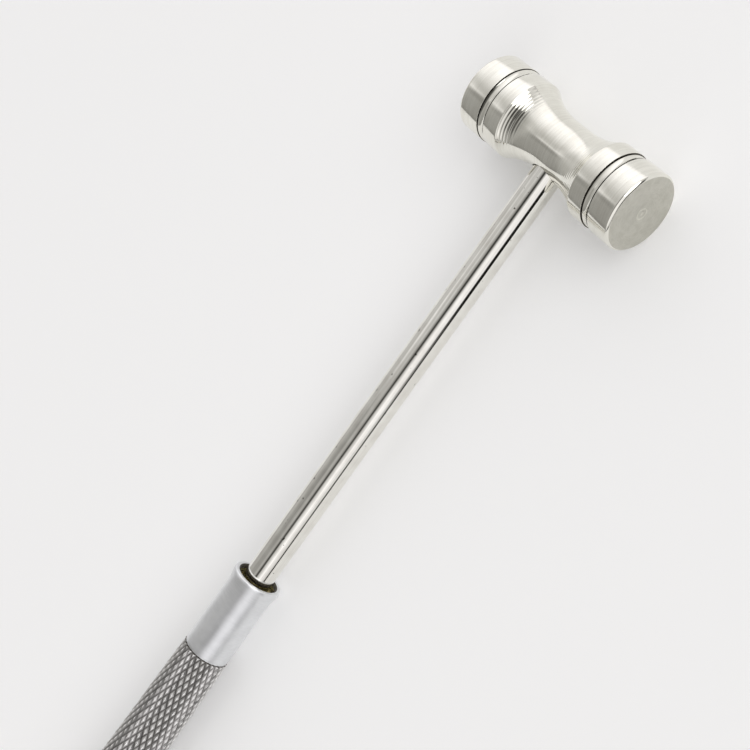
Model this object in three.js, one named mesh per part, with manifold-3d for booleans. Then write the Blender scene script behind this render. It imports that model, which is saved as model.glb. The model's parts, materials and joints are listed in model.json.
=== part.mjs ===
// An all-metal reflex hammer, lying on a table. A turned double-faced head sits on a slim round shaft.
// The shaft's lower end carries a brass plug that screws into the mouth of a hollow, knurled grip.
// A sensory needle hangs from the plug, and a small brush stands on the grip's screw-in end cap,
// so both are stored inside the grip. Millimetres, +Z up, +X towards the head, head axis along Y.
import * as THREE from "three";
import { mergeVertices } from "three/addons/utils/BufferGeometryUtils.js";
import Module from "manifold-3d";

const wasm = await Module();
wasm.setup();

// ---- Driving dimensions ---------------------------------------------------------------------
const FIT = 0.1; // radial play of a screwed or sliding fit
const SEAT = 0.06; // axial play where two faces meet

const HEAD_R = 7; // radius of the two striking drums
const HEAD_HALF = 18.2; // head centre to a striking face
const FACE_CHAMFER = 0.25;
const GROOVE_OUT = 13.55; // head centre to the far edge of a groove
const GROOVE_IN = 11.9; // head centre to its near edge
const GROOVE_DEPTH = 0.5;
const WAIST_R = 4.9;
const WAIST_FLAT = 1.75; // half the length of the straight part of the waist
const SHOULDER = 8.9; // head centre to where the waist meets a drum

const SHAFT_R = 2.65;
const SEAT_DEPTH = 1.7; // how far the full shaft sinks into the waist
const TENON_R = 1.95; // threaded tenon in the head
const TENON_LENGTH = 4.6;
const FOOT_TENON_R = 1.7; // threaded tenon in the plug
const FOOT_TENON_LENGTH = 7;

const RIM = 89.6; // head axis to the grip's rim
const GRIP_LENGTH = 76;
const LIP_R = 4.6;
const NECK_R = 4.2;
const KNURL_START = 16.8; // rim to the knurling
const GRIP_MAX_R = 5.2;
const TAIL_R = 4.7;
const MOUTH_R = 3.55; // counterbore behind the rim
const MOUTH_DEPTH = 3;
const PLUG_BORE_R = 2.85;
const PLUG_BORE_END = 13.6;
const STORE_R = 3.15; // storage bore
const TAIL_BORE_R = 3.5;
const TAIL_BORE_START = 68;

const FLANGE_TOP = 1.3; // rim to the plug's flange
const WASHER_THICK = 0.4;
const PLUG_LENGTH = 10; // threaded part below the flange
const PIN_R = 0.5;
const PIN_AT = 6.4; // rim to the plug's cross pin

const COLLET_STEM_R = 1.1;
const COLLET_STEM = 2.8;
const COLLET_R = 1.7;
const COLLET_LENGTH = 6.4;
const NEEDLE_R = 0.4;
const NEEDLE_GRIP = 4; // length of needle held in the collet
const NEEDLE_FREE = 16;

const CAP_LENGTH = 6;
const CAP_WASHER = 0.5;
const SPIGOT_LENGTH = 6.9;
const BRUSH_SOCKET = 4.2;
const FERRULE_R = 1.7;
const FERRULE_LENGTH = 11;
const BRISTLE_HOLD = 3; // length of bristle inside the ferrule
const BRISTLE_FREE = 16;
const BRISTLE_TIP_R = 2.3;

const ROUND = 48; // sides of a large turned piece
const SMALL_ROUND = 24; // sides of a small one

// ---- Helpers --------------------------------------------------------------------------------
// Everything is drawn in the tool's own frame: the head's centre is the origin and the shaft runs
// along -X. A profile is a closed list of [x, radius] pairs, turned round the X axis.
function turned(profile, sides) {
  const points = profile.map(([x, r]) => new THREE.Vector2(r, x));
  const geometry = new THREE.LatheGeometry(points, sides);
  geometry.rotateZ(-Math.PI / 2);
  return geometry;
}

// A plain round bar along X between two places.
function bar(x0, x1, radius, sides) {
  return turned([[x0, 0], [x0, radius], [x1, radius], [x1, 0]], sides);
}

function solidOf(geometry) {
  const bare = geometry.clone();
  bare.deleteAttribute("normal");
  bare.deleteAttribute("uv");
  const merged = mergeVertices(bare, 1e-4);
  return new wasm.Manifold(
    new wasm.Mesh({
      numProp: 3,
      vertProperties: merged.attributes.position.array,
      triVerts: new Uint32Array(merged.index.array),
    }),
  );
}

function geometryOf(solid) {
  const mesh = solid.getMesh();
  const geometry = new THREE.BufferGeometry();
  geometry.setAttribute("position", new THREE.BufferAttribute(mesh.vertProperties, 3));
  geometry.setIndex(new THREE.BufferAttribute(mesh.triVerts, 1));
  geometry.computeVertexNormals();
  return geometry;
}

function cut(geometry, ...tools) {
  return geometryOf(tools.reduce((left, tool) => left.subtract(solidOf(tool)), solidOf(geometry)));
}

// The place on the X axis that lies a distance below the grip's rim.
const below = (distance) => -(RIM + distance);

// ---- Materials ------------------------------------------------------------------------------
const metal = (color, roughness) =>
  new THREE.MeshStandardMaterial({ color, roughness, metalness: 1 });
const plastic = (color) =>
  new THREE.MeshStandardMaterial({ color, roughness: 0.7, metalness: 0 });
const nickel = metal(0xd2cfc6, 0.18);
const polished = metal(0xcfcdc6, 0.1);
const satin = metal(0xc4c6c8, 0.38);
const brass = metal(0xb59a5a, 0.3);
const steel = metal(0xb8b8b6, 0.25);
const nylon = plastic(0xe6e2d6);
const bristle = plastic(0xd8d2c0);

const tool = new THREE.Group();

function add(name, geometry, material) {
  const mesh = new THREE.Mesh(geometry, material);
  mesh.name = name;
  tool.add(mesh);
  return mesh;
}

// ---- Head -----------------------------------------------------------------------------------
// Half of the turned outline, from the middle of the waist out to a striking face.
function headHalf() {
  const drop = HEAD_R - WAIST_R;
  const run = SHOULDER - WAIST_FLAT;
  const arc = (run * run + drop * drop) / (2 * drop);
  const waistSteps = 8;
  const outline = [];
  for (let i = 0; i <= waistSteps; i++) {
    const dx = (run * i) / waistSteps;
    outline.push([WAIST_FLAT + dx, WAIST_R + arc - Math.sqrt(arc * arc - dx * dx)]);
  }
  const grooveSteps = 6;
  for (let i = 0; i <= grooveSteps; i++) {
    const t = i / grooveSteps;
    const x = GROOVE_IN + (GROOVE_OUT - GROOVE_IN) * t;
    outline.push([x, HEAD_R - GROOVE_DEPTH * Math.sin(Math.PI * t)]);
  }
  outline.push([HEAD_HALF - FACE_CHAMFER, HEAD_R]);
  outline.push([HEAD_HALF, HEAD_R - FACE_CHAMFER]);
  outline.push([HEAD_HALF, 0]);
  return outline;
}

function headBody() {
  const right = headHalf();
  const left = right.map(([x, r]) => [-x, r]).reverse();
  const body = turned([...left, ...right], ROUND);
  body.rotateZ(Math.PI / 2);
  const floor = -WAIST_R + SEAT_DEPTH;
  const seat = bar(-2 * WAIST_R, floor, SHAFT_R + FIT, ROUND);
  const tapped = bar(-WAIST_R, floor + TENON_LENGTH + 0.5, TENON_R + FIT, SMALL_ROUND);
  return cut(body, seat, tapped);
}
add("head_body", headBody(), nickel);

// ---- Shaft ----------------------------------------------------------------------------------
const shaftTop = -WAIST_R + SEAT_DEPTH - SEAT;
const shaftFoot = below(FLANGE_TOP - SEAT);

// A pin across the shaft's axis, lying along Z.
function crossPin(radius, halfLength) {
  const pin = new THREE.CylinderGeometry(radius, radius, 2 * halfLength, SMALL_ROUND);
  pin.rotateX(Math.PI / 2);
  pin.translate(below(PIN_AT), 0, 0);
  return pin;
}

function shaft() {
  const rod = turned(
    [
      [shaftFoot - FOOT_TENON_LENGTH, 0],
      [shaftFoot - FOOT_TENON_LENGTH, FOOT_TENON_R],
      [shaftFoot, FOOT_TENON_R],
      [shaftFoot, SHAFT_R],
      [shaftTop, SHAFT_R],
      [shaftTop, TENON_R],
      [shaftTop + TENON_LENGTH, TENON_R],
      [shaftTop + TENON_LENGTH, 0],
    ],
    ROUND,
  );
  return cut(rod, crossPin(PIN_R + FIT / 2, SHAFT_R));
}
add("shaft", shaft(), polished);

// ---- Plug, with the needle that hangs from it --------------------------------------------------
const flangeTop = below(FLANGE_TOP);
const flangeFoot = below(MOUTH_DEPTH - WASHER_THICK - 2 * SEAT);
const plugFoot = flangeFoot - PLUG_LENGTH;
const PLUG_R = PLUG_BORE_R - FIT;

function threadPlug() {
  const body = turned(
    [
      [plugFoot, 0],
      [plugFoot, PLUG_R - 0.4],
      [plugFoot + 0.4, PLUG_R],
      [flangeFoot, PLUG_R],
      [flangeFoot, MOUTH_R - FIT],
      [flangeTop - 0.2, MOUTH_R - FIT],
      [flangeTop, MOUTH_R - FIT - 0.2],
      [flangeTop, 0],
    ],
    ROUND,
  );
  const tenonHole = bar(flangeTop - FOOT_TENON_LENGTH - 0.3, flangeTop + 1, FOOT_TENON_R + FIT, SMALL_ROUND);
  const colletHole = bar(plugFoot - 1, plugFoot + COLLET_STEM + 0.2, COLLET_STEM_R + FIT, SMALL_ROUND);
  return cut(body, tenonHole, colletHole, crossPin(PIN_R + FIT / 2, 2 * PLUG_R));
}
add("thread_plug", threadPlug(), brass);
add("plug_pin", crossPin(PIN_R, PLUG_R - FIT), steel);

const washerTop = below(MOUTH_DEPTH - SEAT - WASHER_THICK);
const washerFoot = below(MOUTH_DEPTH - SEAT);
add(
  "plug_washer",
  turned(
    [
      [washerFoot, PLUG_BORE_R],
      [washerFoot, MOUTH_R - FIT],
      [washerTop, MOUTH_R - FIT],
      [washerTop, PLUG_BORE_R],
      [washerFoot, PLUG_BORE_R],
    ],
    ROUND,
  ),
  nylon,
);

const colletTop = plugFoot - SEAT;
const colletFoot = colletTop - COLLET_LENGTH;

function needleCollet() {
  const body = turned(
    [
      [colletFoot, 0],
      [colletFoot, COLLET_R * 0.5],
      [colletFoot + 1.8, COLLET_R],
      [colletTop, COLLET_R],
      [colletTop, COLLET_STEM_R],
      [colletTop + COLLET_STEM, COLLET_STEM_R],
      [colletTop + COLLET_STEM, 0],
    ],
    SMALL_ROUND,
  );
  return cut(body, bar(colletFoot - 1, colletFoot + NEEDLE_GRIP + 0.1, NEEDLE_R + FIT / 2, SMALL_ROUND));
}
add("needle_collet", needleCollet(), brass);

function needle() {
  const tip = colletFoot - NEEDLE_FREE;
  const taper = 4;
  return turned(
    [
      [tip, 0],
      [tip + 0.3, 0.06],
      [tip + taper, NEEDLE_R],
      [colletFoot + NEEDLE_GRIP, NEEDLE_R],
      [colletFoot + NEEDLE_GRIP, 0],
    ],
    SMALL_ROUND / 2,
  );
}
add("needle", needle(), steel);

// ---- Grip -----------------------------------------------------------------------------------
// The outer outline, as [distance below the rim, radius]. A lip stands round the mouth, the smooth
// neck runs to the knurling, and the knurled part swells and then narrows to the tail.
function gripOutline() {
  const bend = new THREE.SplineCurve(
    [
      [1.7, NECK_R + 0.1],
      [6, NECK_R],
      [KNURL_START, NECK_R + 0.2],
      [24, NECK_R + 0.38],
      [38, NECK_R + 0.62],
      [54, GRIP_MAX_R],
      [66, GRIP_MAX_R - 0.15],
      [GRIP_LENGTH, TAIL_R],
    ].map(([s, r]) => new THREE.Vector2(s, r)),
  );
  const lip = [
    [0, LIP_R - 0.35],
    [0.15, LIP_R - 0.1],
    [0.5, LIP_R],
    [0.85, LIP_R - 0.1],
  ];
  return [...lip, ...bend.getPoints(22).map((p) => [p.x, p.y])];
}

function handleTube() {
  const inside = [
    [GRIP_LENGTH, TAIL_BORE_R],
    [TAIL_BORE_START, TAIL_BORE_R],
    [TAIL_BORE_START - 0.35, STORE_R],
    [PLUG_BORE_END, STORE_R],
    [PLUG_BORE_END - 0.3, PLUG_BORE_R],
    [MOUTH_DEPTH, PLUG_BORE_R],
    [MOUTH_DEPTH, MOUTH_R],
    [0.12, MOUTH_R],
    [0, MOUTH_R + 0.12],
  ];
  const outside = gripOutline();
  const loop = [...outside, ...inside, outside[0]];
  return turned(loop.map(([s, r]) => [below(s), r]).reverse(), ROUND);
}
add("handle_tube", handleTube(), satin);

// ---- End cap, with the brush that stands on it -------------------------------------------------
const capWasherTop = below(GRIP_LENGTH + SEAT);
const capWasherFoot = capWasherTop - CAP_WASHER;
const SPIGOT_R = TAIL_BORE_R - FIT;
add(
  "cap_washer",
  turned(
    [
      [capWasherFoot, SPIGOT_R + FIT],
      [capWasherFoot, TAIL_R - 0.15],
      [capWasherTop, TAIL_R - 0.15],
      [capWasherTop, SPIGOT_R + FIT],
      [capWasherFoot, SPIGOT_R + FIT],
    ],
    ROUND,
  ),
  nylon,
);

const capTop = capWasherFoot - SEAT;
const capFoot = capTop - CAP_LENGTH;
const spigotTop = capTop + CAP_WASHER + 2 * SEAT + SPIGOT_LENGTH;

function endCap() {
  const edge = 0.8;
  const body = turned(
    [
      [capFoot, 0],
      [capFoot, TAIL_R - edge],
      [capFoot + 0.3 * edge, TAIL_R - 0.3 * edge],
      [capFoot + edge, TAIL_R],
      [capTop - 0.3, TAIL_R],
      [capTop, TAIL_R - 0.3],
      [capTop, SPIGOT_R],
      [spigotTop - 0.4, SPIGOT_R],
      [spigotTop, SPIGOT_R - 0.4],
      [spigotTop, 0],
    ],
    ROUND,
  );
  return cut(body, bar(spigotTop - BRUSH_SOCKET, spigotTop + 1, FERRULE_R + FIT / 2, SMALL_ROUND));
}
add("end_cap", endCap(), satin);

const ferruleFoot = spigotTop - BRUSH_SOCKET + SEAT;
const ferruleTop = ferruleFoot + FERRULE_LENGTH;
const bristleFoot = ferruleTop - BRISTLE_HOLD;

function brushFerrule() {
  const body = turned(
    [
      [ferruleFoot, 0],
      [ferruleFoot, FERRULE_R],
      [ferruleTop - 2.4, FERRULE_R],
      [ferruleTop - 1.9, FERRULE_R - 0.22],
      [ferruleTop - 1.4, FERRULE_R],
      [ferruleTop, FERRULE_R],
      [ferruleTop, 0],
    ],
    SMALL_ROUND,
  );
  return cut(body, bar(bristleFoot - SEAT, ferruleTop + 1, FERRULE_R - 0.35, SMALL_ROUND));
}
add("brush_ferrule", brushFerrule(), steel);

const BUNDLE_R = FERRULE_R - 0.45;
add(
  "brush_bristles",
  turned(
    [
      [bristleFoot, 0],
      [bristleFoot, BUNDLE_R],
      [ferruleTop, BUNDLE_R],
      [ferruleTop + 0.6 * BRISTLE_FREE, BRISTLE_TIP_R],
      [ferruleTop + 0.9 * BRISTLE_FREE, BRISTLE_TIP_R * 0.8],
      [ferruleTop + BRISTLE_FREE, BRISTLE_TIP_R * 0.3],
      [ferruleTop + BRISTLE_FREE, 0],
    ],
    SMALL_ROUND,
  ),
  bristle,
);

// ---- How it lies ----------------------------------------------------------------------------
// The two drums and the grip's fattest ring touch the table, so the shaft slopes a little down
// from the head. The origin is on the table, under the middle of the overall length.
function restAngle() {
  const angles = gripOutline().map(([s, r]) => {
    const reach = Math.hypot(RIM + s, r);
    return Math.asin(HEAD_R / reach) - Math.atan2(r, RIM + s);
  });
  return Math.min(...angles);
}

const slope = restAngle();
const backEnd = capFoot * Math.cos(slope) - (TAIL_R - 0.8) * Math.sin(slope);
tool.rotation.y = -slope;
tool.position.set(-(HEAD_R + backEnd) / 2, 0, HEAD_R);

const hammer = new THREE.Group();
hammer.add(tool);

export default hammer;
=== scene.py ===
import json
import math
import random

import bpy
from mathutils import Matrix, Vector


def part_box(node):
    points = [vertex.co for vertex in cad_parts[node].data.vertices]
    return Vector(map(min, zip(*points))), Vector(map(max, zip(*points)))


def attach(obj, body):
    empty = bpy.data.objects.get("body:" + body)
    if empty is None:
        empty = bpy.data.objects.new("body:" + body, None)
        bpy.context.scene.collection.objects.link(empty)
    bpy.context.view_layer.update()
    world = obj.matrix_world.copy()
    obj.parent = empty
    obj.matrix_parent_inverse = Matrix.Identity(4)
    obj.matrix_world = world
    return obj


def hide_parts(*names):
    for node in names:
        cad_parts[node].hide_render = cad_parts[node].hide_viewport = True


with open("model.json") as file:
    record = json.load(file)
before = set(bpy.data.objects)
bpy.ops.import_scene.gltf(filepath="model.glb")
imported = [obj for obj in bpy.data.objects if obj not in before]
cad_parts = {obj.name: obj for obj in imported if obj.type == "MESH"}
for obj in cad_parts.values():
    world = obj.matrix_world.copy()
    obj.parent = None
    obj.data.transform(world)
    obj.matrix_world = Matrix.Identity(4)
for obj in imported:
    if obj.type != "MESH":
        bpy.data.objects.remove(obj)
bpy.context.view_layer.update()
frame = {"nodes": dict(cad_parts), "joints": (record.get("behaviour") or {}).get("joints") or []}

random.seed(7)
MM = 0.001

# ---- The tool's own frame ---------------------------------------------------------------------
joints = {joint["name"]: joint for joint in frame["joints"]}
head_centre = sum(map(Vector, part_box("head_body")), Vector()) / 2
towards_head = Vector(joints["shaft_turn"]["axis"]).normalized()
across = Vector((0, 1, 0))
upwards = towards_head.cross(across)
turn = Matrix((towards_head, across, upwards)).transposed()
PLACE = Matrix.Translation(head_centre) @ turn.to_4x4() @ Matrix.Scale(MM, 4)
TO_TOOL = PLACE.inverted()

# ---- Dimensions, in millimetres ---------------------------------------------------------------
HEAD_R = 6.999  # a hair under the solid, so that rounding never takes it out of its box
HEAD_HALF = 18.2
FACE_CHAMFER = 0.45
GROOVE_IN, GROOVE_OUT = 11.9, 13.55
NOTCH = 0.24  # width of the painted-shade line at a groove's inner edge
OUTER_NOTCH = 0.8 * NOTCH
WAIST_R, WAIST_FLAT, SHOULDER = 4.9, 1.75, 8.9
MARKS_START = 5.6  # head centre to the first turning marks on the flare
MARK_PITCH, MARK_HEIGHT = 0.47, 0.007
MARK_R, MARK_INNER_R, DIMPLE_R = 1.1, 0.8, 0.35  # the centre mark on a face: a ring round a dimple
SEAT_DEPTH = 1.7
SEAT_GAP = 0.18  # round the rod in its seat
SHAFT_R = 2.65
TENON_R, TENON_LENGTH = 1.95, 4.6
FOOT_TENON_R, FOOT_TENON_LENGTH = 1.7, 7.0
FOOT_DEPTH = 1.24  # the rod's foot below the grip's rim
PIN_HOLE_R = 0.55
RIM = 89.6  # head centre to the grip's rim
GRIP_LENGTH = 76.0
PIN_X = -(RIM + 6.4)
LIP_R, NECK_R = 4.6, 4.2
GRIP_MAX_R, TAIL_R = 5.2, 4.7
MOUTH_R, MOUTH_DEPTH = 3.55, 3.0
PLUG_BORE_R, PLUG_BORE_END = 2.85, 13.6
STORE_R = 3.15
TAIL_BORE_R, TAIL_BORE_START = 3.5, 68.0
KNURL_START, KNURL_END = 16.8, 72.2
KNURL_STARTS = 26  # grooves of one hand round the grip
KNURL_ROW = 2.87  # length of one diamond along the grip
KNURL_DEPTH = 0.34
NECK_FOOT_R = NECK_R + 0.04  # the neck where the knurling starts, a step lower than its crests
KNURL_STEPS = 5  # mesh steps across half a diamond
GRIP_SIDES = 2 * KNURL_STEPS * KNURL_STARTS
MOUTH_THREAD_PITCH, MOUTH_THREAD_DEPTH = 0.5, 0.22
PLUG_TOP, FLANGE_FOOT, PLUG_FOOT = 1.3, 2.48, 12.48  # below the rim
PLUG_THREAD_PITCH, PLUG_THREAD_DEPTH = 1.0, 0.42
CAP_GAP, CAP_LENGTH, SPIGOT_LENGTH = 0.62, 6.0, 6.9  # SPIGOT_LENGTH is its reach inside the grip
CAP_THREAD_PITCH, CAP_THREAD_DEPTH = 0.75, 0.3
SOCKET_R, SOCKET_DEPTH = 1.75, 4.2  # for the brush, in the spigot's end
MILLING_RIDGES, MILLING_DEPTH = 48, 0.18
MILLING_TOP, MILLING_FOOT = 0.9, 1.1  # plain edges above and below the milling
HAIRS, HAIR_R = 230, 0.055


# ---- Mesh helpers -----------------------------------------------------------------------------
def make_piece(name, points, faces, smooth_angle=35):
    """A mesh object from points in the tool's frame, smooth except at edges sharper than the angle."""
    mesh = bpy.data.meshes.new(name)
    mesh.from_pydata([PLACE @ Vector(p) for p in points], [], faces)
    mesh.validate()
    mesh.update()
    mesh.shade_smooth()
    mesh.set_sharp_from_angle(angle=math.radians(smooth_angle))
    piece = bpy.data.objects.new(name, mesh)
    bpy.context.collection.objects.link(piece)
    return piece


def softened(outline, steps=4):
    """The points of an outline of (along, radius) corners. A third value rounds that corner over such a
    length each way, in so many steps."""
    out = []
    for i, corner in enumerate(outline):
        here = Vector(corner[:2])
        if len(corner) < 3:
            out.append(tuple(here))
            continue
        before, after = Vector(outline[i - 1][:2]), Vector(outline[(i + 1) % len(outline)][:2])
        start = here + (before - here).normalized() * min(corner[2], (before - here).length / 2)
        end = here + (after - here).normalized() * min(corner[2], (after - here).length / 2)
        for k in range(steps + 1):
            t = k / steps
            out.append(tuple((1 - t) ** 2 * start + 2 * t * (1 - t) * here + t * t * end))
    return out


def spaced(start, end, steps):
    """Evenly spaced numbers from start to end, both included."""
    return [start + (end - start) * k / steps for k in range(steps + 1)]


def ring_points(along, radius, sides, axis, wobble=None):
    """One ring of points round the X or Y axis. wobble(along, angle) adds to the radius."""
    points = []
    for k in range(sides):
        angle = 2 * math.pi * k / sides
        r = radius + (wobble(along, angle) if wobble else 0)
        if axis == "X":
            points.append((along, r * math.cos(angle), r * math.sin(angle)))
        else:
            points.append((r * math.sin(angle), along, r * math.cos(angle)))
    return points


def turned(name, outline, sides, axis="X", wobble=None):
    """A turned solid, from an outline that starts and ends on the axis."""
    points, rings = [], []
    for along, radius in outline:
        if radius < 1e-6:
            rings.append([len(points)] * sides)
            points.append((along, 0, 0) if axis == "X" else (0, along, 0))
        else:
            rings.append(list(range(len(points), len(points) + sides)))
            points += ring_points(along, radius, sides, axis, wobble)
    faces = []
    for low, high in zip(rings, rings[1:]):
        for k in range(sides):
            n = (k + 1) % sides
            corners = (low[k], low[n], high[n], high[k])
            faces.append(tuple(dict.fromkeys(corners)))
    return make_piece(name, points, faces)


def round_drill(x0, x1, radius, sides=96):
    """A cutter for a round hole along X between two places."""
    return turned("drill", [(x0, 0), (x0, radius), (x1, radius), (x1, 0)], sides)


def cross_drill(x, radius, half_length, sides=24):
    """A cutter for a round hole along Z that crosses the X axis."""
    angles = [2 * math.pi * k / sides for k in range(sides)]
    points = [(x + radius * math.cos(a), radius * math.sin(a), z)
              for z in (-half_length, half_length) for a in angles]
    faces = [(k, (k + 1) % sides, sides + (k + 1) % sides, sides + k) for k in range(sides)]
    faces += [tuple(reversed(range(sides))), tuple(range(sides, 2 * sides))]
    return make_piece("drill", points, faces)


def cut(piece, *drills):
    """Takes each drill's shape out of the piece, and then removes the drill."""
    for drill in drills:
        hole = piece.modifiers.new("hole", "BOOLEAN")
        hole.operation, hole.object, hole.solver = "DIFFERENCE", drill, "EXACT"
    bpy.context.view_layer.update()
    evaluated = piece.evaluated_get(bpy.context.evaluated_depsgraph_get())
    piece.data = bpy.data.meshes.new_from_object(evaluated)
    piece.modifiers.clear()
    for drill in drills:
        bpy.data.objects.remove(drill)


def screw_thread(start, end, pitch, depth):
    """A wobble for turned(): a V thread cut into the surface between two places along X."""
    def wobble(along, angle):
        if not start < along < end:
            return 0.0
        return -depth * abs(2 * ((along / pitch + angle / (2 * math.pi)) % 1) - 1)
    return wobble


# ---- Material helpers -------------------------------------------------------------------------
def add(tree, kind, settings=(), **inputs):
    """A shader node with its settings and inputs; an input may be a value or another node's output."""
    node = tree.nodes.new("ShaderNode" + kind)
    for key, value in dict(settings).items():
        setattr(node, key, value)
    for key, value in inputs.items():
        socket = node.inputs[int(key[1:])] if key[1:].isdigit() else node.inputs[key.replace("_", " ")]
        if isinstance(value, bpy.types.NodeSocket):
            tree.links.new(value, socket)
        else:
            socket.default_value = value
    return node


def calc(tree, operation, a, b=0.0):
    """The result of a sum on one or two values."""
    return add(tree, "Math", {"operation": operation}, i0=a, i1=b).outputs[0]


def spread(tree, value, low, high, out_low, out_high):
    """A value's range from low to high, mapped to another range and held inside it."""
    ends = dict(From_Min=low, From_Max=high, To_Min=out_low, To_Max=out_high)
    return add(tree, "MapRange", Value=value, **ends).outputs["Result"]


def shades(tree, factor, stops):
    """A colour ramp with stops of (place, colour)."""
    node = add(tree, "ValToRGB", Fac=factor)
    ramp = node.color_ramp
    while len(ramp.elements) < len(stops):
        ramp.elements.new(1.0)
    for element, (place, colour) in zip(ramp.elements, stops):
        element.position = place
        element.color = (*colour, 1)
    return node.outputs["Color"]


def mixed(tree, share, first, second):
    """One colour into another by a share from 0 to 1."""
    return add(tree, "Mix", {"data_type": "RGBA"}, i0=share, i6=first, i7=second).outputs[2]


def new_material(name, metallic, roughness):
    """A new material, its node tree and its shader."""
    material = bpy.data.materials.new(name)
    material.use_nodes = True
    tree = material.node_tree
    shader = tree.nodes["Principled BSDF"]
    shader.inputs["Metallic"].default_value = metallic
    shader.inputs["Roughness"].default_value = roughness
    return material, tree, shader


def tool_place(tree):
    """The point's x, y and z in the tool's frame, in millimetres."""
    scale = 1 / MM
    slope = math.atan2(towards_head.z, towards_head.x)
    shift = -(turn.transposed() @ head_centre) * scale
    settings = dict(Scale=(scale,) * 3, Rotation=(0, slope, 0), Location=shift)
    where = add(tree, "TexCoord").outputs["Object"]
    return add(tree, "Mapping", Vector=where, **settings).outputs["Vector"]


def grain(tree, axis, fine, coarse):
    """Noise in lines round a turned piece's axis: fine per millimetre across them, coarse along them.
    On a flat end the same lines are rings. Axis "drawn" gives lines along X, as on a drawn rod."""
    x, y, z = add(tree, "SeparateXYZ", Vector=tool_place(tree)).outputs[:3]
    if axis == "drawn":
        parts = [calc(tree, "MULTIPLY", x, coarse)]
        parts += [calc(tree, "MULTIPLY", part, fine) for part in (y, z)]
    else:
        line, side = (x, y) if axis == "X" else (y, x)
        squares = [calc(tree, "MULTIPLY", part, part) for part in (side, z)]
        reach = calc(tree, "SQRT", calc(tree, "ADD", *squares))
        parts = [calc(tree, "MULTIPLY", calc(tree, "ADD", line, reach), fine)]
        parts += [calc(tree, "MULTIPLY", part, coarse) for part in (side, z)]
    vector = add(tree, "CombineXYZ", X=parts[0], Y=parts[1], Z=parts[2]).outputs[0]
    return add(tree, "TexNoise", Vector=vector, Scale=1.0, Detail=3.0).outputs["Fac"]


def blotches(tree, per_mm, detail=2.0):
    """Soft noise of one size all over."""
    return add(tree, "TexNoise", Vector=tool_place(tree), Scale=per_mm, Detail=detail).outputs["Fac"]


def raise_by(tree, shader, *heights):
    """Bumps on a shader: each height is (noise, micrometres)."""
    normal = None
    for height, micrometres in heights:
        settings = dict(Height=height, Strength=1.0, Distance=micrometres * 1e-6)
        if normal:
            settings["Normal"] = normal
        normal = add(tree, "Bump", **settings).outputs["Normal"]
    tree.links.new(normal, shader.inputs["Normal"])


def metal(name, axis, dark, light, rough, fine, coarse, bumps, smear=0.35, waves=0.0, specks=0.0):
    """A metal with tool lines, of so many per millimetre across (fine) and along (coarse) them. Its colour
    goes from dark to light and its roughness over a range. bumps are (fineness, micrometres) pairs. smear
    is the size of its stains, per millimetre; waves are slow dents, in micrometres; specks are small dark
    pits, by their noise per millimetre."""
    material, tree, shader = new_material(name, 1.0, rough[0])
    lines = grain(tree, axis, fine, coarse)
    tint = calc(tree, "ADD", calc(tree, "MULTIPLY", lines, 0.5),
                calc(tree, "MULTIPLY", blotches(tree, smear), 0.5))
    colour = shades(tree, tint, [(0.35, dark), (0.6, light)])
    heights = [(grain(tree, axis, fine * k, coarse), size) for k, size in bumps]
    if waves:
        heights.append((blotches(tree, 0.3), waves))
    if specks:
        pits = spread(tree, blotches(tree, specks, 0.0), 0.80, 0.84, 0.0, 1.0)
        colour = mixed(tree, pits, colour, (0.2, 0.19, 0.17, 1))
    tree.links.new(colour, shader.inputs["Base Color"])
    tree.links.new(spread(tree, tint, 0.3, 0.7, rough[0], rough[1]), shader.inputs["Roughness"])
    raise_by(tree, shader, *heights)
    return material


# ---- Materials --------------------------------------------------------------------------------
nickel = metal("turned_nickel", "Y", (0.76, 0.745, 0.675), (0.86, 0.85, 0.78), (0.06, 0.13),
               fine=3.0, coarse=0.12, bumps=[(1.0, 0.6), (4.0, 0.25)], waves=10.0)
faced = metal("faced_nickel", "Y", (0.50, 0.49, 0.43), (0.59, 0.58, 0.52), (0.30, 0.38),
              fine=9.0, coarse=1.2, bumps=[(1.0, 0.7), (2.0, 0.5)], smear=0.9)
centre_mark = metal("centre_mark", "Y", (0.59, 0.58, 0.51), (0.69, 0.68, 0.61), (0.25, 0.32),
                    fine=9.0, coarse=1.2, bumps=[(1.0, 0.7)], smear=0.9)
# Near-black metal that paints shade where it falls: in the head's groove lines, round the rod's seat, at the
# grip's step to the knurling and just inside its mouth.
shade_paint = metal("painted_shade", "Y", (0.035, 0.03, 0.025), (0.12, 0.11, 0.09), (0.4, 0.6),
                fine=6.0, coarse=0.5, bumps=[(1.0, 1.5)], smear=1.5)
polished = metal("polished_rod", "drawn", (0.74, 0.72, 0.67), (0.86, 0.85, 0.80), (0.035, 0.08),
                 fine=6.0, coarse=0.05, bumps=[(1.0, 0.4)], specks=1.5)
satin = metal("satin_neck", "X", (0.75, 0.76, 0.77), (0.85, 0.86, 0.87), (0.38, 0.46),
              fine=8.0, coarse=0.5, bumps=[(1.0, 0.9), (3.0, 0.5)])
brass = metal("machined_brass", "X", (0.30, 0.24, 0.09), (0.68, 0.56, 0.28), (0.22, 0.45),
              fine=3.0, coarse=0.8, bumps=[(1.0, 1.5)], smear=1.5)
# Oxidised brass for the grip's mouth, also painted much darker as painted shade down in the mouth.
aged_brass_painted_shade = metal("aged_brass_painted_shade", "X", (0.010, 0.008, 0.005), (0.19, 0.165, 0.07), (0.2, 0.45),
                   fine=3.0, coarse=1.5, bumps=[(1.0, 2.0)], smear=2.5)
steel = metal("ground_steel", "X", (0.52, 0.52, 0.52), (0.72, 0.72, 0.71), (0.18, 0.3),
              fine=5.0, coarse=0.3, bumps=[(1.0, 0.8)])


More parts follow.
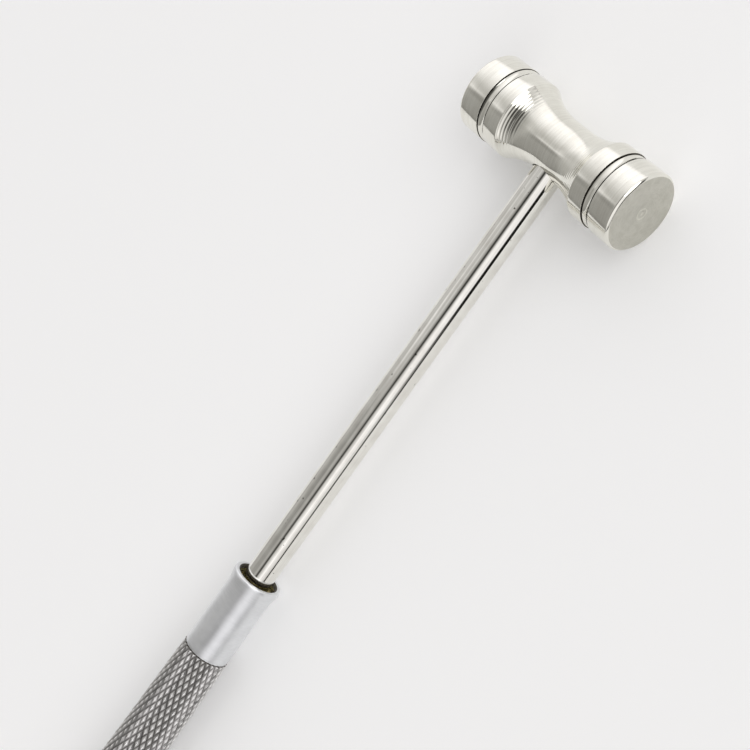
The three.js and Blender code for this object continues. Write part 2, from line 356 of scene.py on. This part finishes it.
def knurl_metal_painted_light():
    """Steel-grey knurling with worn blotches, painted shade down in its grooves and a painted highlight on
    its crests, duller in the grooves.
    """
    material, tree, shader = new_material("knurled_painted_light", 1.0, 0.25)
    height = add(tree, "Attribute", {"attribute_name": "knurl_height"}).outputs["Fac"]
    wear = calc(tree, "MULTIPLY", calc(tree, "SUBTRACT", blotches(tree, 1.2), 0.5), 0.4)
    level = calc(tree, "ADD", height, wear)
    # Painted shade in the grooves and a painted highlight on the crests, from the stored height.
    colour = shades(tree, level, [(0.0, (0.19, 0.182, 0.176)), (0.36, (0.46, 0.45, 0.44)),
                                  (0.60, (0.68, 0.67, 0.655)), (0.78, (0.96, 0.95, 0.94))])
    tree.links.new(colour, shader.inputs["Base Color"])
    tree.links.new(spread(tree, level, 0.0, 1.0, 0.4, 0.18), shader.inputs["Roughness"])
    raise_by(tree, shader, (blotches(tree, 6.0, 3.0), 4.0))
    return material


def soft_plastic(name, low, high, roughness):
    """A pale plastic with faint mottling."""
    material, tree, shader = new_material(name, 0.0, roughness)
    tree.links.new(shades(tree, blotches(tree, 2.0), [(0.3, low), (0.7, high)]), shader.inputs["Base Color"])
    raise_by(tree, shader, (blotches(tree, 12.0), 4.0))
    return material


knurled = knurl_metal_painted_light()
nylon = soft_plastic("natural_nylon", (0.74, 0.71, 0.62), (0.84, 0.82, 0.75), 0.5)
hair = soft_plastic("pale_bristle", (0.60, 0.54, 0.42), (0.78, 0.74, 0.64), 0.6)


def dress(piece, *materials):
    """Gives a piece these materials alone, in this order."""
    piece.data.materials.clear()
    for material in materials:
        piece.data.materials.append(material)


def finish_piece(piece, body, slot, *replaced):
    """Ties a piece to its body, in the place of its CAD nodes. Its slot is not used."""
    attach(piece, body)
    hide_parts(*replaced)


def store_heights(piece, heights):
    """Keeps how high each point of a piece's knurling stands, 0 in a groove and 1 on a crest, for its painted
    shade and highlight.
    """
    attribute = piece.data.attributes.new("knurl_height", "FLOAT", "POINT")
    attribute.data.foreach_set("value", heights)


# ---- Head -------------------------------------------------------------------------------------
def waist_radius(x):
    """The waist's radius at a distance from the head's middle, with fine turning marks on the flare."""
    drop, run = HEAD_R - WAIST_R, SHOULDER - WAIST_FLAT
    arc = (run * run + drop * drop) / (2 * drop)
    dx = max(x - WAIST_FLAT, 0)
    marks = MARK_HEIGHT * math.sin(2 * math.pi * x / MARK_PITCH) * min(max(x - MARKS_START, 0), 1)
    return WAIST_R + arc - math.sqrt(arc * arc - dx * dx) + marks


def head_outline():
    """Half of the turned outline, from the middle of the waist out to the middle of a face."""
    outline = [(x, waist_radius(x)) for x in spaced(0.0, MARKS_START, 24)]
    outline += [(x, waist_radius(x)) for x in spaced(MARKS_START, SHOULDER - 0.1, 50)]
    outline.append((SHOULDER, HEAD_R, 0.2))
    inner_line, outer_line = GROOVE_IN + NOTCH, GROOVE_OUT - OUTER_NOTCH
    outline += [(GROOVE_IN, HEAD_R, 0.04), (GROOVE_IN + 0.06, HEAD_R - 0.36), (inner_line, HEAD_R - 0.38)]
    for t in spaced(0.0, 1.0, 10):
        x = inner_line + 0.05 + (outer_line - inner_line - 0.1) * t
        outline.append((x, HEAD_R - 0.2 + 0.08 * t - 0.14 * math.sin(math.pi * t)))
    outline += [(outer_line, HEAD_R - 0.3), (GROOVE_OUT - 0.04, HEAD_R - 0.28), (GROOVE_OUT, HEAD_R, 0.04)]
    outline += [(HEAD_HALF - FACE_CHAMFER, HEAD_R, 0.2), (HEAD_HALF, HEAD_R - 0.4, 0.2)]
    mark = ((MARK_R, 0.0), ((MARK_R + MARK_INNER_R) / 2, 0.06), (MARK_INNER_R, 0.02),
            (DIMPLE_R, 0.02), (DIMPLE_R - 0.15, 0.1), (0.0, 0.1))
    for radius, depth in mark:
        outline.append((HEAD_HALF - depth, radius))
    return softened(outline, 3)


BRIGHT, FACED, HEAD_SHADE, CENTRE = range(4)  # the head's materials, in the order that it is dressed in


def head_finish(place):
    """Which of the head's materials a place has. It gets painted shade down in a groove's lines and round the
    rod's seat.
    """
    y, radius = abs(place.y), math.hypot(place.x, place.z)
    if y > HEAD_HALF - 0.15 and radius < HEAD_R - 0.4:
        return CENTRE if radius < DIMPLE_R or MARK_INNER_R < radius < MARK_R else FACED
    if place.x < 0 and math.hypot(place.y, place.z) < SHAFT_R + SEAT_GAP + 0.02:
        return HEAD_SHADE
    in_inner_line = GROOVE_IN < y < GROOVE_IN + NOTCH + 0.05
    in_outer_line = GROOVE_OUT - OUTER_NOTCH - 0.05 < y < GROOVE_OUT
    return HEAD_SHADE if (in_inner_line or in_outer_line) and radius < HEAD_R - 0.04 else BRIGHT


def make_head():
    """The head, turned in one piece and bored from the grip's side for the rod and its tenon."""
    half = head_outline()
    outline = [(-x, r) for x, r in reversed(half[1:])] + half
    head = turned("head", outline, 288, axis="Y")
    floor = -WAIST_R + SEAT_DEPTH
    cut(head, round_drill(-2 * WAIST_R, floor, SHAFT_R + SEAT_GAP),
        round_drill(-WAIST_R, floor + TENON_LENGTH + 0.5, TENON_R + 0.1))
    dress(head, nickel, faced, shade_paint, centre_mark)
    for face in head.data.polygons:
        face.material_index = head_finish(TO_TOOL @ face.center)
    finish_piece(head, "percussor", "bright_nickel", "head_body")


# ---- Rod --------------------------------------------------------------------------------------
def make_rod():
    """The rod, stepped down to a tenon at each end and drilled for the plug's pin."""
    top = -WAIST_R + SEAT_DEPTH - 0.06
    foot = -(RIM + FOOT_DEPTH)
    tip, end = top + TENON_LENGTH, foot - FOOT_TENON_LENGTH
    outline = softened([(end, 0), (end, FOOT_TENON_R, 0.2), (foot, FOOT_TENON_R), (foot, SHAFT_R, 0.15),
                        (top, SHAFT_R, 0.12), (top, TENON_R), (tip, TENON_R, 0.3), (tip, 0)])
    rod = turned("rod", outline, 192)
    cut(rod, cross_drill(PIN_X, PIN_HOLE_R, SHAFT_R))
    dress(rod, polished)
    finish_piece(rod, "percussor", "polished_rod", "shaft")


# ---- Grip -------------------------------------------------------------------------------------
def grip_radius(s):
    """The grip's outer radius at a distance below its rim, by a smooth curve through a few sizes."""
    knots = [(0.85, LIP_R - 0.1), (2.6, NECK_R + 0.06), (6.0, NECK_R), (KNURL_START, NECK_R + 0.2),
             (24.0, NECK_R + 0.38), (38.0, NECK_R + 0.62), (54.0, GRIP_MAX_R), (66.0, GRIP_MAX_R - 0.15),
             (GRIP_LENGTH, TAIL_R)]
    for i in range(len(knots) - 1):
        (s0, r0), (s1, r1) = knots[i], knots[i + 1]
        if s <= s1:
            before, after = knots[max(i - 1, 0)], knots[min(i + 2, len(knots) - 1)]
            m0 = (r1 - before[1]) / (s1 - before[0]) * (s1 - s0)
            m1 = (after[1] - r0) / (after[0] - s0) * (s1 - s0)
            t = (s - s0) / (s1 - s0)
            return ((2 * t**3 - 3 * t**2 + 1) * r0 + (t**3 - 2 * t**2 + t) * m0
                    + (3 * t**2 - 2 * t**3) * r1 + (t**3 - t**2) * m1)
    return TAIL_R


def diamond(s, angle):
    """The knurling's height, 0 in a groove and 1 on a crest, and how the mesh is best split there."""
    around, along = KNURL_STARTS * angle / (2 * math.pi), (s - KNURL_START) / KNURL_ROW
    right, left = (around + along) % 1, (around - along) % 1
    slant = (abs(2 * right - 1), abs(2 * left - 1))
    return min(1.0, 1.12 * (1 - max(slant))), slant[0] > slant[1]


SATIN, KNURLED, BRASS, GRIP_SHADE = range(4)  # the grip's materials, in the order that it is dressed in
ROW_STEP = KNURL_ROW / (2 * KNURL_STEPS)  # from one ring of the knurling to the next
KNURL_ROWS = round((KNURL_END - KNURL_START) / ROW_STEP)


def smooth(s, angle):
    """A plain wall: it counts as a crest, and stands no higher than its ring's radius."""
    return 1.0, 0.0


def knurl(s, angle):
    """The knurled wall's height from 0 to 1, and how far it stands from its ring's radius."""
    height = diamond(s, angle)[0]
    return height, -KNURL_DEPTH * (1 - height)


def mouth_thread(s, angle):
    """The mouth's wall, with a V thread cut into it."""
    wave = abs(2 * ((s / MOUTH_THREAD_PITCH - angle / (2 * math.pi)) % 1) - 1)
    return 1.0, MOUTH_THREAD_DEPTH * wave


def outer_rings():
    """The outside from the rim to the tail and the bore back to the mouth's floor, as rings of (distance
    below the rim, radius, wall, material from there to the next ring)."""
    lip = softened([(0.0, MOUTH_R + 0.28), (0.0, LIP_R - 0.24, 0.12), (0.14, LIP_R - 0.1, 0.12),
                    (0.55, LIP_R, 0.3), (0.95, LIP_R - 0.12, 0.3), (1.6, grip_radius(1.6))])
    rings = [(s, radius, smooth, SATIN) for s, radius in lip]
    neck_start = 6.0
    for s in spaced(2.0, KNURL_START - 0.2, 28):
        radius = grip_radius(s)
        if s > neck_start:
            radius = min(radius, max(grip_radius(neck_start), NECK_FOOT_R))
        rings.append((s, radius, smooth, SATIN))
    # The neck's last ring and the step down to the knurling get painted shade.
    rings[-1] = (*rings[-1][:3], GRIP_SHADE)
    rings.append((KNURL_START - 0.1, NECK_FOOT_R - 0.08, smooth, GRIP_SHADE))
    for k in range(KNURL_ROWS + 1):
        s = KNURL_START + ROW_STEP * k
        rings.append((s, grip_radius(s), knurl, KNURLED if k < KNURL_ROWS else SATIN))
    end = KNURL_START + ROW_STEP * KNURL_ROWS
    bore = [(end + 0.15, grip_radius(end) - 0.2)]
    bore += softened([(end + 0.3, grip_radius(end) - 0.03, 0.1), (GRIP_LENGTH - 0.2, TAIL_R, 0.15),
                      (GRIP_LENGTH, TAIL_R - 0.2), (GRIP_LENGTH, TAIL_BORE_R, 0.1),
                      (TAIL_BORE_START, TAIL_BORE_R), (TAIL_BORE_START - 0.35, STORE_R),
                      (PLUG_BORE_END, STORE_R), (PLUG_BORE_END - 0.3, PLUG_BORE_R),
                      (MOUTH_DEPTH, PLUG_BORE_R), (MOUTH_DEPTH, MOUTH_R)])
    rings += [(s, radius, smooth, SATIN) for s, radius in bore[:-2]]
    return rings + [(s, radius, smooth, BRASS) for s, radius in bore[-2:]]


def mouth_rings():
    """The mouth's threaded wall from its floor up to the rim, in the same form. It gets painted shade just
    inside the rim."""
    steps, shaded_from = 40, 33
    rings = []
    for k in range(1, steps):
        s = MOUTH_DEPTH - (MOUTH_DEPTH - 0.3) * k / steps
        rings.append((s, MOUTH_R, mouth_thread, GRIP_SHADE if k >= shaded_from else BRASS))
    return rings + [(0.25, MOUTH_R, smooth, GRIP_SHADE)]


def make_grip():
    """One closed wall, from its rings."""
    rings = outer_rings() + mouth_rings()
    points, heights, faces, kinds = [], [], [], []
    for s, radius, wall, _ in rings:
        for k in range(GRIP_SIDES):
            angle = 2 * math.pi * k / GRIP_SIDES
            height, lift = wall(s, angle)
            r = radius + lift
            points.append((-(RIM + s), r * math.cos(angle), r * math.sin(angle)))
            heights.append(height)
    for i, (s, _, _, kind) in enumerate(rings):
        low, high = i * GRIP_SIDES, (i + 1) % len(rings) * GRIP_SIDES
        for k in range(GRIP_SIDES):
            n = (k + 1) % GRIP_SIDES
            a, b, c, d = low + k, low + n, high + n, high + k
            if kind != KNURLED:
                strip = [(a, b, c, d)]
            elif diamond(s + ROW_STEP / 2, 2 * math.pi * (k + 0.5) / GRIP_SIDES)[1]:
                strip = [(a, b, d), (b, c, d)]
            else:
                strip = [(a, b, c), (a, c, d)]
            faces += strip
            kinds += [kind] * len(strip)
    grip = make_piece("grip", points, faces, 50)
    store_heights(grip, heights)
    dress(grip, satin, knurled, aged_brass_painted_shade, shade_paint)
    grip.data.polygons.foreach_set("material_index", kinds)
    finish_piece(grip, "grip", "satin_grip", "handle_tube")


# ---- Plug, down in the mouth ------------------------------------------------------------------
def make_plug():
    """The threaded plug: a flange over a real screw thread, bored for the rod and the needle holder."""
    top, flange, foot = -(RIM + PLUG_TOP), -(RIM + FLANGE_FOOT), -(RIM + PLUG_FOOT)
    flange_r, thread_r = MOUTH_R - 0.1, PLUG_BORE_R - 0.1
    holder_r, holder_depth = 1.2, 3.0
    outline = [(top, 0), (top, flange_r - 0.25), (top - 0.2, flange_r), (flange, flange_r),
               (flange - 0.02, thread_r)]
    outline += [(x, thread_r) for x in spaced(flange - 0.1, foot + 0.2, 96)]
    outline += [(foot, thread_r - 0.4), (foot, 0)]
    thread = screw_thread(foot + 0.3, flange - 0.3, PLUG_THREAD_PITCH, PLUG_THREAD_DEPTH)
    plug = turned("plug", outline, 96, wobble=thread)
    cut(plug, round_drill(top - FOOT_TENON_LENGTH - 0.3, top + 1, FOOT_TENON_R + 0.1),
        round_drill(foot - 1, foot + holder_depth, holder_r, 48),
        cross_drill(PIN_X, PIN_HOLE_R, 2 * PLUG_BORE_R))
    dress(plug, brass)
    finish_piece(plug, "percussor", "plug_brass", "thread_plug")


# ---- End cap ----------------------------------------------------------------------------------
def make_cap():
    """The screw-in end cap: straight milling round its edge, a threaded spigot and the brush's socket."""
    top = -(RIM + GRIP_LENGTH + CAP_GAP)
    foot = top - CAP_LENGTH
    spigot_top = -(RIM + GRIP_LENGTH - SPIGOT_LENGTH)
    spigot_r, socket_end = TAIL_BORE_R - 0.1, spigot_top - SOCKET_DEPTH
    thread = screw_thread(top + 0.8, spigot_top - 0.5, CAP_THREAD_PITCH, CAP_THREAD_DEPTH)

    def milled(along, angle):
        inside = min(top - MILLING_TOP - along, along - foot - MILLING_FOOT)
        if inside <= 0:
            return thread(along, angle)
        flute = (0.5 - 0.5 * math.cos(MILLING_RIDGES * angle)) ** 0.7
        return -MILLING_DEPTH * min(1.0, inside / 0.2) * flute

    outline = [(foot, 0), (foot, 1.6), (foot + 0.12, 1.75), (foot + 0.12, 2.0), (foot, 2.15),
               (foot, TAIL_R - 0.9, 0.15), (foot + 0.22, TAIL_R - 0.28, 0.3), (foot + 0.85, TAIL_R, 0.3)]
    outline += [(x, TAIL_R) for x in spaced(foot + 1.0, top - MILLING_TOP, 16)]
    outline += [(top - 0.3, TAIL_R, 0.1), (top, TAIL_R - 0.3), (top, spigot_r)]
    outline += [(x, spigot_r) for x in spaced(top + 0.6, spigot_top - 0.4, 64)]
    outline += [(spigot_top, spigot_r - 0.4), (spigot_top, SOCKET_R), (socket_end, SOCKET_R), (socket_end, 0)]
    cap = turned("cap", softened(outline), 384, wobble=milled)
    reaches = [math.hypot(*(TO_TOOL @ vertex.co).yz) for vertex in cap.data.vertices]
    # The milling's heights give it painted shade in the flutes and a painted highlight on the ridges.
    store_heights(cap, [1 - (TAIL_R - reach) / MILLING_DEPTH for reach in reaches])
    dress(cap, satin, knurled)
    for face in cap.data.polygons:
        face.material_index = foot + MILLING_FOOT < (TO_TOOL @ face.center).x < top - MILLING_TOP
    finish_piece(cap, "cap", "satin_grip", "end_cap")


# ---- Brush ------------------------------------------------------------------------------------
def make_bristles():
    """A bundle of single hairs that spread from the ferrule and end at uneven lengths."""
    low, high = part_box("brush_bristles")
    foot_x = (TO_TOOL @ Vector((low[0], 0, (low[2] + high[2]) / 2))).x + 0.1
    points, faces = [], []
    sides, steps = 5, 6
    for _ in range(HAIRS):
        turn_at = random.uniform(0, 2 * math.pi)
        spread_at = math.sqrt(random.random())
        length = random.uniform(17.2, 18.8) - 2.2 * spread_at**2
        base = len(points)
        for k in range(steps + 1):
            t = k / steps
            out = spread_at * (1.15 + (0.95 * math.sin(math.pi * min(t, 0.9) / 1.8)))
            r = HAIR_R * (1 - 0.6 * t)
            centre = (foot_x + length * t, out * math.cos(turn_at), out * math.sin(turn_at))
            for n in range(sides):
                a = 2 * math.pi * n / sides
                points.append((centre[0], centre[1] + r * math.cos(a), centre[2] + r * math.sin(a)))
        for k in range(steps):
            for n in range(sides):
                a, b = base + k * sides + n, base + k * sides + (n + 1) % sides
                faces.append((a, b, b + sides, a + sides))
        faces.append(tuple(base + n for n in reversed(range(sides))))
        faces.append(tuple(base + steps * sides + n for n in range(sides)))
    bristles = make_piece("bristles", points, faces, 80)
    dress(bristles, hair)
    finish_piece(bristles, "cap", "bristle", "brush_bristles")


make_head()
make_rod()
make_grip()
make_plug()
make_cap()
make_bristles()
for node, material in (("plug_pin", steel), ("plug_washer", nylon), ("needle_collet", brass),
                       ("needle", steel), ("cap_washer", nylon), ("brush_ferrule", steel)):
    dress(frame["nodes"][node], material)


# ---- Floor, light and camera ------------------------------------------------------------------
def make_floor():
    """A wide pale floor, a little lit from within."""
    reach = 8.0
    corners = [(-reach, -reach, 0), (reach, -reach, 0), (reach, reach, 0), (-reach, reach, 0)]
    mesh = bpy.data.meshes.new("floor")
    mesh.from_pydata(corners, [], [(0, 1, 2, 3)])
    floor = bpy.data.objects.new("floor", mesh)
    bpy.context.collection.objects.link(floor)
    material, tree, shader = new_material("pale_floor", 0.0, 0.9)
    shader.inputs["Base Color"].default_value = (0.86, 0.86, 0.855, 1)
    shader.inputs["Specular IOR Level"].default_value = 0.0
    shader.inputs["Emission Color"].default_value = (1, 1, 1, 1)
    shader.inputs["Emission Strength"].default_value = 0.15
    dress(floor, material)


def grey(level):
    """Studio grey, a touch warm when dark."""
    return (level, level * 0.985, level * (0.93 + 0.07 * min(level, 1.0)))


def light_the_room():
    """A light tent of two arches that run into each other. The one across the rod and the grip has a dark
    seam near its top and a dark opening low in front, taller towards the head. The one along the tool
    lights the head, and is dimmer over the grip's side and in front."""
    world = bpy.data.worlds.new("tent")
    bpy.context.scene.world = world
    world.use_nodes = True
    tree = world.node_tree
    x, y, z = add(tree, "SeparateXYZ", Vector=add(tree, "TexCoord").outputs["Generated"]).outputs[:3]

    def tent(side, *stops):
        """Brightness by bearing: 0 and 1 are the horizon on either side, 0.5 is overhead."""
        bearing = calc(tree, "DIVIDE", calc(tree, "ARCTAN2", z, side), math.pi)
        return shades(tree, bearing, [(place, grey(level)) for place, level in stops])

    over_head = tent(x, (0.0, 1.0), (0.05, 1.3), (0.17, 1.3), (0.30, 1.08), (0.38, 0.88), (0.44, 0.72),
                     (0.52, 0.56), (0.565, 0.52), (0.58, 0.82), (0.60, 0.82), (0.615, 0.34), (0.65, 0.27),
                     (0.70, 0.38), (0.93, 0.34), (1.0, 0.26))
    over_grip = tent(y, (0.0, 0.52), (0.20, 0.50), (0.36, 0.38), (0.45, 0.52), (0.50, 0.40), (0.545, 0.07),
                     (0.58, 0.09), (0.63, 0.64), (0.70, 0.97), (0.76, 1.20), (0.87, 0.88), (0.94, 0.65),
                     (0.96, 0.05), (1.0, 0.02))
    over_rod = tent(y, (0.0, 0.64), (0.20, 0.60), (0.27, 1.15), (0.36, 0.60), (0.43, 0.72), (0.51, 0.40),
                    (0.555, 0.04), (0.60, 0.08), (0.645, 0.68), (0.685, 1.02), (0.74, 1.13), (0.85, 0.97),
                    (0.882, 0.85), (0.892, 0.02), (1.0, 0.01))
    over_front = tent(y, (0.0, 0.60), (0.30, 0.85), (0.55, 0.50), (0.80, 0.78), (1.0, 0.45))
    near_head = spread(tree, x, -0.34, -0.16, 0.0, 1.0)
    facing_back = spread(tree, y, -0.25, 0.15, 0.0, 1.0)
    from_rod = calc(tree, "ABSOLUTE", calc(tree, "ADD", x, 0.27))
    from_head = calc(tree, "ABSOLUTE", calc(tree, "SUBTRACT", y, 0.54))
    share = spread(tree, calc(tree, "SUBTRACT", from_rod, from_head), -0.25, 0.25, 0.0, 1.0)
    background = tree.nodes["Background"]
    over_handle = mixed(tree, near_head, over_grip, over_rod)
    light = mixed(tree, share, over_handle, mixed(tree, facing_back, over_front, over_head))
    tree.links.new(light, background.inputs["Color"])
    background.inputs["Strength"].default_value = 1.0


def add_softbox(name, place, target, size, power):
    """A round lamp of a size in metres and a power in watts, turned to its target."""
    light = bpy.data.lights.new(name, "AREA")
    light.shape, light.size, light.energy = "DISK", size, power
    lamp = bpy.data.objects.new(name, light)
    lamp.location = place
    lamp.rotation_euler = (Vector(target) - Vector(place)).to_track_quat("-Z", "Y").to_euler()
    bpy.context.collection.objects.link(lamp)


def set_camera():
    """The camera looks down on the head's near face from beyond the head, a little rolled."""
    stand = Vector((27.3, -149.1, 228.3))
    forward = Vector((-0.2662, 0.5385, -0.7995))
    up = Vector((0.7860, 0.6014, 0.1434))
    right = forward.cross(up)
    data = bpy.data.cameras.new("camera")
    data.sensor_width, data.lens = 36.0, 81.97
    data.clip_start, data.clip_end = 0.01, 20.0
    camera = bpy.data.objects.new("camera", data)
    basis = turn @ Matrix((right, up, -forward)).transposed()
    camera.matrix_world = Matrix.Translation(PLACE @ stand) @ basis.to_4x4()
    bpy.context.collection.objects.link(camera)
    bpy.context.scene.camera = camera


make_floor()
light_the_room()
add_softbox("key", (1.65, -1.5, 1.8), (0.0, 0, 0), 2.7, 21.6)
set_camera()
bpy.context.scene.view_settings.view_transform = "Standard"
